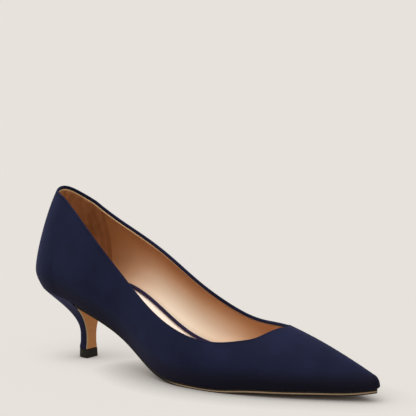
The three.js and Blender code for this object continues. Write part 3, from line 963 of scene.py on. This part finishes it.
def sock_sheet():
    sheet = Sheet()
    across = 14
    tops = []
    for x in bottom_stations(0, SOCK_INSET, SOCK_TOE, 130):
        row = bottom_row(x, SOCK_INSET, SOCK_TOE, foot_height, across)
        raised = []
        for i, (px, py, _) in enumerate(row):
            share = abs(i - across) / across
            raised.append((px, py, insole_top(px, py) - SOCK_ROUND * share ** 12))
        low = INSOLE - SOCK_SKIRT
        raised.insert(0, (row[0][0], row[0][1], row[0][2] + low))
        raised.append((row[-1][0], row[-1][1], row[-1][2] + low))
        tops.append(raised)
    tops = np.array(tops)
    sheet.grid(tops, grid_uv(tops))
    return sheet


def sole_thickness(x):
    share = clamp((x - BREAST_AT) / (LENGTH / 2 - BREAST_AT), 0, 1)
    return mix(WAIST_SOLE, SOLE, share * share)


def sole_top(x, y):
    return foot_height(x, y) - GAP


def sole_bottom(x, y):
    return max(0, sole_top(x, y) - sole_thickness(x))


def flare(share, power, fullness):
    t = clamp((share - HEEL_STRAIGHT) / (1 - HEEL_STRAIGHT), 0, 1)
    return t ** power + fullness * t ** 3 * (1 - t)


def stem_size(share):
    """Length and width of the heel before it flares."""
    drawn_in = ease(share / NECK_SHARE)
    length = mix(TIP_LENGTH, NECK_LENGTH, drawn_in) - (BREAST_AT - HEEL_FRONT)
    return length, mix(TIP_WIDTH, NECK_WIDTH, drawn_in)


def seat_outline(inset, flat=6):
    outline = []
    for side in (OUTER, INNER):
        half = [foot_point(station("side", mix(HEEL_FRONT, HEEL_ROUND, i / flat), side), inset)
                for i in range(flat)]
        half += [foot_point(station("heel", math.pi / 2 * i / STEPS["heel"], side), inset)
                 for i in range(STEPS["heel"], 0, -1)]
        outline.append(half)
    middle = foot_point(station("heel", 0, OUTER), inset)
    return [*outline[0], middle, *outline[1][::-1]]


def breast_corners(z, inset):
    seat = seat_outline(GAP)
    ys = []
    for side, (x, y) in ((OUTER, seat[0]), (INNER, seat[-1])):
        share = clamp((z - HEEL_FOOT) / (sole_top(x, y) - HEEL_FOOT), 0, 1)
        stem = side * stem_size(share)[1] / 2
        ys.append(mix(stem, y, flare(share, *FLARE_SIDES)) - side * inset)
    return ys


def breast_row(z, inset, across):
    low, high = breast_corners(z, inset)
    return [mix(low, high, (1 + math.sin(math.pi / 2 * i / across)) / 2) for i in range(-across, across + 1)]


def sole_sheet():
    """Leather sole with the flap that runs down the heel's breast. Slot 0 is leather, slot 1 the edge."""
    across = 12
    back = BREAST_AT - BREAST_FLAP
    toe = LENGTH - GAP
    bend_start = sole_bottom(BREAST_AT, 0) - BREAST_FILLET
    tops = []
    bottoms = []
    flap_rows = 26
    for i in range(flap_rows + 1):
        z = mix(TIP_HEIGHT + GAP, bend_start, i / flap_rows)
        row = breast_row(z, GAP, across)
        tops.append([(back, y, z) for y in row])
        bottoms.append([(BREAST_AT, y, z) for y in row])
    bend_steps = 12
    corner = bottom_row(BREAST_AT, GAP, toe, sole_bottom, across)
    ahead = bottom_row(BREAST_AT + BREAST_FILLET, GAP, toe, sole_bottom, across)
    low = breast_row(bend_start, GAP, across)
    for i in range(1, bend_steps + 1):
        t = i / bend_steps
        x = BREAST_AT + BREAST_FILLET * t * t
        wide = bottom_row(x, GAP, toe, sole_top, across)
        bottom = []
        for k, point in enumerate(wide):
            y = mix(low[k], point[1], t)
            z = (1 - t) ** 2 * bend_start + 2 * t * (1 - t) * corner[k][2] + t * t * ahead[k][2]
            bottom.append((x, y, z))
        rise = clamp(t * 2, 0, 1)
        run = clamp(t * 2 - 1, 0, 1)
        top_x = mix(back, BREAST_AT + BREAST_FILLET, run)
        top = []
        for _, y, _ in bottom:
            z = sole_top(top_x, y) if run > 0 else mix(bend_start, sole_top(back, y), rise)
            top.append((top_x, y, z))
        tops.append(top)
        bottoms.append(bottom)
    for x in bottom_stations(BREAST_AT + BREAST_FILLET, GAP, toe, 120)[1:]:
        tops.append(bottom_row(x, GAP, toe, sole_top, across))
        bottoms.append(bottom_row(x, GAP, toe, sole_bottom, across))
    tops = np.array(tops)
    bottoms = np.array(bottoms)
    sheet = Sheet()
    sheet.grid(tops, grid_uv(tops), flip=False, slot=0)
    sheet.grid(bottoms, grid_uv(bottoms), flip=True, slot=0)
    turn = 6
    for end, toward, flip in ((-1, -2, False), (0, 1, True)):
        out = unit(tops[:, end] - tops[:, toward])
        rows = []
        for i in range(turn + 1):
            share = i / turn
            bulge = EDGE_BULGE * math.sin(math.pi * share)
            rows.append(mix(tops[:, end], bottoms[:, end], share) + bulge * out)
        rows = np.stack(rows, axis=1)
        run = lengths_along(rows, 0)
        down = np.tile(np.linspace(0, 1, turn + 1), (len(rows), 1))
        sheet.grid(rows, np.stack([run, down], axis=2), flip=flip, slot=1)
    foot = np.stack([tops[0], bottoms[0]], axis=1)
    sheet.grid(foot, grid_uv(foot), flip=False, slot=0)
    return sheet


def cord_sheet():
    inset = WALL + EDGE_GAP + CORD / 4
    lift = 1.5 * GAP + CORD / 2
    places = []
    side_steps = 120
    for i in range(side_steps, 0, -1):
        places.append(("side", mix(HEEL_ROUND, CORD_REACH, i / side_steps), OUTER))
    for i in range(STEPS["heel"], 0, -1):
        places.append(("heel", math.pi / 2 * i / STEPS["heel"], OUTER))
    for i in range(STEPS["heel"]):
        places.append(("heel", math.pi / 2 * i / STEPS["heel"], INNER))
    for i in range(side_steps + 1):
        places.append(("side", mix(HEEL_ROUND, CORD_REACH, i / side_steps), INNER))
    path = []
    for place in places:
        x, y = foot_point(station(*place), inset)
        path.append((x, y, insole_top(x, y) + lift))
    path = np.array(path)
    along = unit(np.gradient(path, axis=0))
    across = unit(np.cross(along, [0, 0, 1]))
    up = np.cross(across, along)
    sides = 14
    rows = []
    for k in range(sides + 1):
        angle = 2 * math.pi * k / sides
        rows.append(path + CORD / 2 * (math.cos(angle) * across + math.sin(angle) * up))
    rows = np.stack(rows, axis=1)
    rows = np.concatenate([np.repeat(path[:1, None], sides + 1, axis=1), rows,
                           np.repeat(path[-1:, None], sides + 1, axis=1)])
    sheet = Sheet()
    sheet.grid(rows, grid_uv(rows), flip=True)
    return sheet


sock = to_object("insole_sock", sock_sheet(), [sock_leather])
finish_piece(sock, "insole")
cord = to_object("insole_cord", cord_sheet(), [cord_fabric])
finish_piece(cord, "insole_piping")
sole = to_object("leather_sole", sole_sheet(), [sole_leather(), sole_edge()])
finish_piece(sole, "outsole")


# Heel and its tip

def tip_point(share, front, length, width):
    angle = math.pi * share
    fullness = 0.8
    back = math.sin(angle) ** fullness
    across = math.copysign(abs(math.cos(angle)) ** fullness, math.cos(angle))
    return front - length * back, -width / 2 * across


def heel_loop(share):
    seat = seat_outline(GAP)
    length, width = stem_size(share)
    back = flare(share, *FLARE_BACK)
    sides = flare(share, *FLARE_SIDES)
    loop = []
    for i, (x, y) in enumerate(seat):
        stem_x, stem_y = tip_point(i / (len(seat) - 1), HEEL_FRONT, length, width)
        loop.append((mix(stem_x, x, back), mix(stem_y, y, sides), mix(HEEL_FOOT, sole_top(x, y), share)))
    low, high = loop[0], loop[-1]
    front = 8
    for i in range(1, front):
        y = mix(high[1], low[1], i / front)
        top = sole_top(HEEL_FRONT, mix(seat[-1][1], seat[0][1], i / front))
        loop.append((HEEL_FRONT, y, mix(HEEL_FOOT, top, share)))
    loop.append(loop[0])
    return loop


def add_cap(sheet, loop, middle, height, rings, up):
    rows = []
    for i in range(rings + 1):
        share = 1 - i / rings
        row = []
        for x, y, z in loop:
            ring_x, ring_y = mix(middle[0], x, share), mix(middle[1], y, share)
            row.append((ring_x, ring_y, z if i == 0 else height(ring_x, ring_y)))
        rows.append(row)
    rows = np.array(rows)
    sheet.grid(rows, grid_uv(rows), flip=not up)


def heel_sheet():
    sheet = Sheet()
    steps = 60
    loops = np.array([heel_loop(i / steps) for i in range(steps + 1)])
    uv = grid_uv(loops)
    sheet.grid(loops, uv[:, :, ::-1])
    add_cap(sheet, loops[0], (HEEL_FRONT - stem_size(0)[0] / 2, 0), lambda x, y: HEEL_FOOT, 1, False)
    add_cap(sheet, loops[-1], (HEEL_ROUND * 0.7, 0), sole_top, 4, True)
    return sheet


def tip_sheet():
    sheet = Sheet()
    count = 48
    levels = [(0, -0.3), (0.1, -0.1), (0.3, 0), (TIP_HEIGHT - 0.2, 0), (TIP_HEIGHT - 0.06, -0.06),
              (TIP_HEIGHT, -0.2)]
    loops = []
    for z, grow in levels:
        spread = TIP_FLARE * (1 - z / TIP_HEIGHT) + 2 * grow
        front = BREAST_AT + spread / 2
        loop = []
        for i in range(count + 1):
            x, y = tip_point(i / count, front, TIP_LENGTH + spread, TIP_WIDTH + spread)
            loop.append((x, y, z))
        loop.append(loop[0])
        loops.append(loop)
    loops = np.array(loops)
    sheet.grid(loops, grid_uv(loops))
    middle = (BREAST_AT - TIP_LENGTH / 2, 0)
    add_cap(sheet, loops[0], middle, lambda x, y: 0, 1, False)
    add_cap(sheet, loops[-1], middle, lambda x, y: TIP_HEIGHT, 1, True)
    return sheet


heel = to_object("heel_cover", heel_sheet(), [heel_fabric])
finish_piece(heel, "heel")
tip = to_object("heel_top_piece", tip_sheet(), [rubber()])
finish_piece(tip, "heel_tip")

for piece in (heel, tip, sole, sock):
    mesh = piece.data
    mesh.set_sharp_from_angle(angle=math.radians(40))


# Floor, light and camera

FLOOR_GLOW = 0.62
GLOW_TINT = (1.0, 0.953, 0.896, 1)
GLOW_REACH = 0.03
FLOOR_HALF = 30.0
PAPER_STOPS = [(0.2, (0.1265, 0.1206, 0.1134)), (0.8, (0.1285, 0.1226, 0.1152))]
KEY_FROM = (-0.20, -0.25, 0.94)
KEY_STRENGTH = 3.2
KEY_SPREAD = 60
KEY_TINT = (1.0, 0.995, 0.985)
STUDIO_TINT = (1.0, 0.995, 0.99, 1)
STUDIO_STRENGTH = 0.45


def floor():
    """Pale paper that glows: painted light that lifts the shadows, fading close to the shoe into a painted
    contact shadow.
    """
    material, nodes, links, shader = new_material("floor_paint")
    place = place_in_mm(nodes, links)
    faint = noise(nodes, links, place, 0.002, 2.0, 0.5)
    links.new(colour_ramp(nodes, links, faint, PAPER_STOPS), shader.inputs["Base Color"])
    # Ambient occlusion dims the glow near the shoe: a painted contact shadow
    near = nodes.new("ShaderNodeAmbientOcclusion")
    near.samples = 24
    near.inputs["Distance"].default_value = GLOW_REACH
    glow = math_node(nodes, links, "MULTIPLY", near.outputs["AO"], FLOOR_GLOW)
    shader.inputs["Emission Color"].default_value = GLOW_TINT
    links.new(glow, shader.inputs["Emission Strength"])
    shader.inputs["Roughness"].default_value = 0.9
    shader.inputs["Specular IOR Level"].default_value = 0.0
    mesh = bpy.data.meshes.new("floor")
    half = FLOOR_HALF
    corners = [(-half, -half, 0), (half, -half, 0), (half, half, 0), (-half, half, 0)]
    mesh.from_pydata(corners, [], [(0, 1, 2, 3)])
    mesh.materials.append(material)
    plane = bpy.data.objects.new("floor", mesh)
    bpy.context.scene.collection.objects.link(plane)


def sun(name, direction, strength, spread, colour):
    light = bpy.data.lights.new(name, "SUN")
    light.energy = strength
    light.angle = math.radians(spread)
    light.color = colour
    lamp = bpy.data.objects.new(name, light)
    bpy.context.scene.collection.objects.link(lamp)
    towards = np.array(direction) / np.linalg.norm(direction)
    lamp.rotation_mode = "QUATERNION"
    lamp.rotation_quaternion = Vector(towards).to_track_quat("Z", "Y")


floor()
sun("key", KEY_FROM, KEY_STRENGTH, KEY_SPREAD, KEY_TINT)

world = bpy.data.worlds.new("studio")
bpy.context.scene.world = world
world.use_nodes = True
backdrop = world.node_tree.nodes["Background"]
backdrop.inputs["Color"].default_value = STUDIO_TINT
backdrop.inputs["Strength"].default_value = STUDIO_STRENGTH

CAMERA_AT = (0.9602, -1.1215, 0.3184)
CAMERA_AZIMUTH = 37.42
CAMERA_ELEVATION = 8.41
CAMERA_LENS = 194.2

camera_data = bpy.data.cameras.new("camera")
camera_data.lens = CAMERA_LENS
camera_data.sensor_width = 36
camera_data.clip_end = 100
camera = bpy.data.objects.new("camera", camera_data)
bpy.context.scene.collection.objects.link(camera)
camera.location = CAMERA_AT
camera.rotation_euler = (math.radians(90 - CAMERA_ELEVATION), 0, math.radians(CAMERA_AZIMUTH))
bpy.context.scene.camera = camera
bpy.context.scene.view_settings.view_transform = "Standard"
